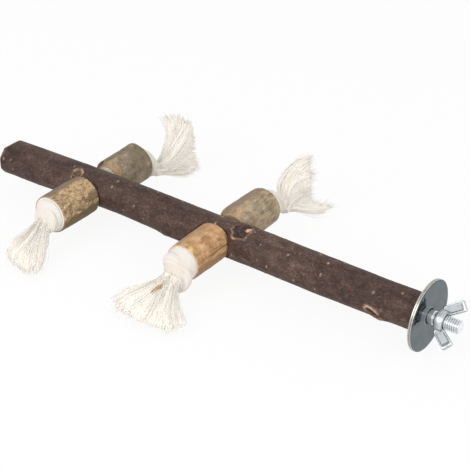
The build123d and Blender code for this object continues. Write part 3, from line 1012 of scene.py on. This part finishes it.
def cottonFinish():
    # undyed cotton rope: cream, with painted shade, darker and warmer, in the grooves and creases, and soft
    # fibre fuzz
    finish = Finish("undyed cotton")
    fibre = finish.noise(0.5, 3, 0.6)
    finish.base = finish.mix(finish.mask("tone"), (234, 229, 222), (228, 221, 211))
    finish.coat(finish.band(fibre, 0.45, 0.75) * 0.25, (225, 215, 201))
    # painted shade in the grooves and creases
    finish.coat(finish.mask("groove") * 0.6, (206, 189, 168))
    return finish.shade(
        Roughness=0.82 + 0.12 * fibre,
        Normal=finish.bump(fibre, 0.05),
        Specular_IOR_Level=0.15,
        Sheen_Weight=0.2,
        Subsurface_Weight=0.5,
        Subsurface_Radius=(1.0, 0.92, 0.84),
        Subsurface_Scale=2.0 * mm,
    )


def yarnFinish():
    # frayed cotton: each yarn has its own tone, with painted shade, darker and warmer, in the grooves between
    # them
    finish = Finish("frayed cotton")
    fibre = finish.noise(0.6, 3, 0.6)
    finish.base = finish.mix(finish.mask("tone"), (253, 250, 244), (249, 241, 230))
    finish.coat(finish.band(fibre, 0.45, 0.75) * 0.2, (246, 237, 225))
    # painted shade in the valleys between the yarns
    finish.coat(finish.mask("groove") * 0.85, (236, 218, 192))
    # a brown streak between the yarns, over a sunk line, darkest along its middle
    brownStreak = finish.mask("brownStreak")
    streakColour = finish.mix(finish.band(brownStreak + 0.5 * fibre, 0.7, 1.2), (232, 200, 156), (168, 120, 70))
    finish.coat(finish.band(brownStreak, 0.05, 0.45), streakColour)
    return finish.shade(
        Roughness=0.85 + 0.1 * fibre,
        Specular_IOR_Level=0.1,
        Sheen_Weight=0.4,
        Sheen_Roughness=0.6,
        Sheen_Tint=colour((255, 250, 242)),
    )


# Hardware

boltLook = dict(
    pitch=1.25, crest=4.0, root=3.22, sharp=1.35, chamfer=0.9,
    runOut=(3.2, 4.8),  # where the machine thread fades in, out from the clamping face
    shank=3.78,
    woodPitch=3.2, woodCrest=3.8, woodRoot=2.6, pointLength=7.0,
    rows=(170, 300),  # in the wood, and outside it
    columns=72,
)


def makeBolt(material):
    # a screw thread: the radius is a ridge that climbs one pitch a turn, cut off by the end's chamfer
    look = boltLook
    low, high = nodeBox("hanger_bolt")
    turn = ringTurns(look["columns"])
    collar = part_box("inner_washer")[0][0] / mm  # the wood thread starts at the branch's end
    wood = np.linspace(low[0], collar, look["rows"][0])[:, None]
    machine = np.linspace(collar, high[0], look["rows"][1])[1:, None]
    endShare = np.linspace(1, 0.1, 6)[1:, None]

    def ridge(x, pitch, sharp):
        # a saw tooth that climbs and falls once a pitch, with its top and foot cut flat where it is sharper
        place = np.mod(x / pitch - turn / (2 * pi), 1)
        return np.clip(sharp * (0.5 - np.abs(place - 0.5)) * 2 - 0.5 * (sharp - 1), 0, 1)

    blade = np.clip(3.2 * ridge(wood, look["woodPitch"], 1.0) - 2.2, 0, 1)
    woodThread = look["woodRoot"] + (look["woodCrest"] - look["woodRoot"]) * blade
    woodThread = np.minimum(woodThread, 0.05 + look["woodCrest"] * (wood - low[0]) / look["pointLength"])
    thread = look["root"] + (look["crest"] - look["root"]) * ridge(machine, look["pitch"], look["sharp"])
    thread = look["shank"] + (thread - look["shank"]) * ease(*look["runOut"], machine)
    thread = np.minimum(thread, look["crest"] - look["chamfer"] + (high[0] - machine))
    x = np.concatenate([wood, machine, high[0] + 0 * endShare]) + 0 * turn
    radius = np.concatenate([woodThread, thread, thread[-1:] * endShare])
    # painted shade: the thread's roots are coloured a deeper grey
    depth = np.clip((look["crest"] - radius) / (look["crest"] - look["root"]), 0, 1)
    depth *= ease(*look["runOut"], x) * (x < high[0] - 0.05)
    points = turned(x, radius, turn)
    roundPiece("hangerBoltThread", points, {"groove": depth}, material, "hanger_bolt", "perch", "zinc_steel")


def roundedRim(low, high, radius, edge):
    # from one face of a turned disc to the other round both edges of its rim: two quarter circles
    curve = np.linspace(0, pi / 2, 6)
    sunk, drawn = edge * (1 - np.cos(curve)), edge * (1 - np.sin(curve))
    first = np.stack([low + sunk, radius - drawn], -1)
    return np.concatenate([first, np.stack([high - drawn, radius - sunk], -1)])


nutLook = dict(
    hubRadius=5.9,
    hubHeight=4.6,
    boreRadius=4.03,
    boreEdge=(0.35, 0.4),  # the chamfer's depth and width
    hubEdge=0.55,
    hubColumns=96,
    wingTurn=46,  # degrees up from the rear
    thickness=2.6,
    rim=0.32,  # how far the wing's face is sunk inside its rim
    flank=0.86,  # where the wing's edge starts to round off, as a share of the way out from its middle
    outline=[(0.2, 3.6), (0.2, 7.2), (9.0, 14.4), (13.0, 9.4), (5.0, 3.6)],  # along the bolt, and out from it
    corner=1.5,
    steps=120,
)


def makeWingNut(material):
    # a turned hub, and two wings: each is its rounded outline drawn in towards its middle, front and back
    look = nutLook
    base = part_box("wing_nut")[0][0] / mm
    bore, tall, flank = look["boreRadius"], look["hubHeight"], look["flank"]
    deep, wide = look["boreEdge"]
    front = [(deep, bore), (0.0, bore + wide), (0.0, bore + 2 * wide)]
    back = [(tall, bore + 2 * wide), (tall, bore + wide), (tall - deep, bore)]
    profile = np.concatenate([front, roundedRim(0.0, tall, look["hubRadius"], look["hubEdge"]), back])
    points = turned(base + profile[:, :1], profile[:, 1:], ringTurns(look["hubColumns"]))
    parts = [roundParts(points, ring=True)]
    corners = np.array(look["outline"] + look["outline"][:1])
    outline, even, length = evenLine(corners, look["steps"], closed=True)
    kernel = hill(np.minimum(even, length - even), 0, look["corner"] / 1.5)
    kernel = np.fft.fft(kernel / kernel.sum())[:, None]
    outline = np.real(np.fft.ifft(np.fft.fft(outline, axis=0) * kernel, axis=0))
    middle = outline.mean(0)
    quarter = np.sin(np.linspace(0, pi / 2, 9)[1:])
    across = np.concatenate([np.linspace(0.05, flank, 20), flank + (1 - flank) * quarter])
    rounded = np.sqrt(np.clip(1 - (np.clip(across - flank, 0, 1 - flank) / (1 - flank)) ** 2, 0, 1))
    height = look["thickness"] / 2 * (0.25 + 0.75 * rounded) - look["rim"] * ease(flank, 0.50, across)
    share = np.concatenate([across, across[::-1]])[:, None]
    rise = np.concatenate([height, -height[::-1]])[:, None]
    flat = middle + (outline[None] - middle) * share[..., None]
    for half in (0, pi):
        up = radians(look["wingTurn"]) + half
        outward = np.array([np.cos(up), np.sin(up)])
        aside = np.array([-np.sin(up), np.cos(up)])
        yz = flat[..., 1:] * outward + (rise + 0 * flat[..., 0])[..., None] * aside
        parts.append(roundParts(np.concatenate([base + flat[..., :1], yz], -1)))
    # painted shade: the wings' sunk faces are coloured a deeper grey
    sunk = roundMask(ease(flank, 0.70, share) + 0 * outline[:, 0])
    masks = {"groove": np.concatenate([np.zeros(points[..., 0].size), sunk, sunk])}
    placePiece("wingNutCast", *joinParts(parts), masks, material, "wing_nut", "wing_nut", "zinc_steel")


washerLook = dict(holeRadius=4.35, holeEdge=(0.15, 0.2), edge=0.28, rows=14, columns=200)


def makeWasher(name, material):
    # a thin ring turned about the bolt: hole, face, rounded outer edge and face again
    look = washerLook
    low, high = nodeBox(name)
    radius = (high[1] - low[1]) / 2
    edge, hole = look["edge"], look["holeRadius"]
    deep, wide = look["holeEdge"]
    face = np.linspace(hole + wide, radius - edge, look["rows"])
    front = [(low[0] + deep, hole)] + [(low[0], out) for out in face]
    back = [(high[0], out) for out in face[::-1][1:]] + [(high[0] - deep, hole)]
    profile = np.concatenate([front, roundedRim(low[0], high[0], radius, edge)[1:], back])
    turn = ringTurns(look["columns"])
    away = profile[:, 1:]
    # the rim mask carries a painted highlight round the outer edge
    masks = {"rim": ease(radius - 0.45 * edge, radius - 0.1 * edge, away) + 0 * turn}
    points = turned(profile[:, :1], away, turn)
    roundPiece(f"{name}_plate", points, masks, material, name, name, "bright_zinc", ring=True)


def plateFinish():
    # bright zinc plate: a dark mirror with faint clouds and scuffs, and a pale edge that is a painted
    # highlight
    finish = Finish("bright zinc plate")
    cloud = finish.noise(6, 3, 0.5)
    scuff = finish.noise(0.5, 3, 0.6, (1, 6, 1))
    rim = finish.mask("rim")
    # the dark mirror colour stands in for the dim surroundings that the washer reflects: painted dark
    # reflection
    finish.base = finish.mix(finish.band(0.7 * cloud + 0.3 * scuff, 0.35, 0.65), (85, 95, 99), (73, 83, 87))
    # painted highlight: a pale band all round the outer edge
    finish.coat(rim, finish.mix(finish.band(scuff, 0.3, 0.7), (158, 157, 148), (206, 204, 194)))
    rough = 0.04 + 0.05 * cloud + 0.03 * scuff + 0.2 * rim
    normal = finish.bump(0.6 * cloud + 0.4 * scuff, 0.003)
    return finish.shade(Metallic=1.0, Roughness=rough, Normal=normal)


# deep is the painted shade of sunk parts
threadZinc = dict(
    shade=(250, 252, 252), dull=(232, 237, 238), deep=(196, 202, 204), rough=0.16, spread=0.16
)
castZinc = dict(shade=(222, 225, 224), dull=(172, 178, 180), deep=(150, 156, 158), rough=0.24, spread=0.2)


def zincFinish(name, shade, dull, deep, rough, spread):
    # plain zinc: pale grey with darker clouds and fine scuffs, and painted shade, a deeper grey, where it is
    # sunk
    finish = Finish(name)
    cloud = finish.noise(2.5, 4, 0.6)
    scuff = finish.noise(0.5, 3, 0.6, (1, 4, 1))
    finish.base = finish.mix(finish.band(0.6 * cloud + 0.4 * scuff, 0.38, 0.62), shade, dull)
    # painted shade where it is sunk
    finish.coat(finish.mask("groove"), deep)
    roughness = rough + spread * cloud + 0.5 * spread * scuff
    normal = finish.bump(0.5 * cloud + 0.5 * scuff, 0.03)
    return finish.shade(Metallic=1.0, Roughness=roughness, Normal=normal)


# Floor, light and camera

stageLook = dict(
    floorDrop=0.2,  # below the lowest point
    floorHalf=4000.0,
    floorColour=(250, 250, 250),
    backdrop=0.90,  # share of plain white in what the camera and mirrors see of the floor
    sky=0.72,
)
lamps = {
    "key": dict(place=(-300, -1050, 750), aim=(-130, 0, 0), size=900, power=6.2),
    "fill": dict(place=(900, -600, 550), aim=(-100, 0, 0), size=900, power=4.0),
}
photoCamera = dict(
    place=(253.22, -538.82, 400.52),
    right=(0.81397, 0.58065, 0.01730),
    back=(0.48982, -0.70204, 0.51694),
    angle=19.457,
)


def seenDirectly(wire):
    # 1 for what the camera sees itself, in a mirror or through glass
    rays = ("Is Camera Ray", "Is Glossy Ray", "Is Transmission Ray")
    camera, glossy, through = (wire.node("ShaderNodeLightPath", output=ray) for ray in rays)
    return wire.math("MINIMUM", camera + glossy + through, 1.0)


def standObject(name, data, place, right, back):
    # a lamp or camera at a place, looking the other way from back
    standing = bpy.data.objects.new(name, data)
    columns = np.column_stack([right, np.cross(back, right), back, np.array(place, float) * mm])
    standing.matrix_world = Matrix([*columns.tolist(), [0, 0, 0, 1]])
    bpy.context.scene.collection.objects.link(standing)
    return standing


def makeStage():
    # a flat square floor just under the perch, a white room, and square lamps that face their aims
    look = stageLook
    half = look["floorHalf"]
    height = cadBox[0][2] / mm - look["floorDrop"]
    corners = [(-half, -half, height), (half, -half, height), (half, half, height), (-half, half, height)]
    finish = Finish("pale floor")
    cloth = finish.wire.node("ShaderNodeBsdfDiffuse", {"Color": colour(look["floorColour"])})
    white = finish.wire.node("ShaderNodeEmission", {"Strength": 1.0})
    part = seenDirectly(finish.wire) * look["backdrop"]
    both = finish.wire.node("ShaderNodeMixShader", {0: part, 1: cloth, 2: white})
    finish.wire.node("ShaderNodeOutputMaterial", {"Surface": both})
    floor = buildMesh("floor", np.array(corners), [np.array([[0, 1, 2, 3]])], {}, finish.material)
    world = bpy.data.worlds.new("soft white room")
    world.use_nodes = True
    world.node_tree.nodes.clear()
    wire = Wire(world.node_tree)
    strength = look["sky"] + (1 - look["sky"]) * seenDirectly(wire)
    light = wire.node("ShaderNodeBackground", {"Strength": strength, "Color": (1, 1, 1, 1)})
    wire.node("ShaderNodeOutputWorld", {"Surface": light})
    bpy.context.scene.world = world
    for name, lamp in lamps.items():
        data = bpy.data.lights.new(name, "AREA")
        data.energy = lamp["power"]
        data.size = lamp["size"] * mm
        back = unit(np.array(lamp["place"], float) - np.array(lamp["aim"], float))
        standObject(name, data, lamp["place"], unit(np.cross([0, 0, 1.0], back)), back)


def makeCamera():
    # the photograph's place, with the way back made square to the right-hand side
    look = photoCamera
    data = bpy.data.cameras.new("photo camera")
    data.sensor_fit = "HORIZONTAL"
    data.angle = radians(look["angle"])
    right = unit(np.array(look["right"]))
    back = np.array(look["back"])
    back = unit(back - right * (back @ right))
    bpy.context.scene.camera = standObject("photo camera", data, look["place"], right, back)


makeCamera()
makeStage()
bpy.context.scene.view_settings.view_transform = "Standard"
print("camera, floor and light set")

makeBranch(branchFinish())
print("branch made")

for place in places:
    makeLog(place, logFinish(place))
print("logs made")

cotton = cottonFinish()
yarn = yarnFinish()
makeRope("rope_left", cotton)
makeRope("rope_right", cotton)
tight = tightKnot()
for place in places:
    makeKnot(place, tight, cotton)
    makeTassel(place, yarn)
print("ropes, knots and frayed ends made")

plate = plateFinish()
makeBolt(zincFinish("zinc thread", **threadZinc))
makeWingNut(zincFinish("cast zinc", **castZinc))
for washer in ("inner_washer", "outer_washer"):
    makeWasher(washer, plate)
print("bolt, washers and wing nut made")
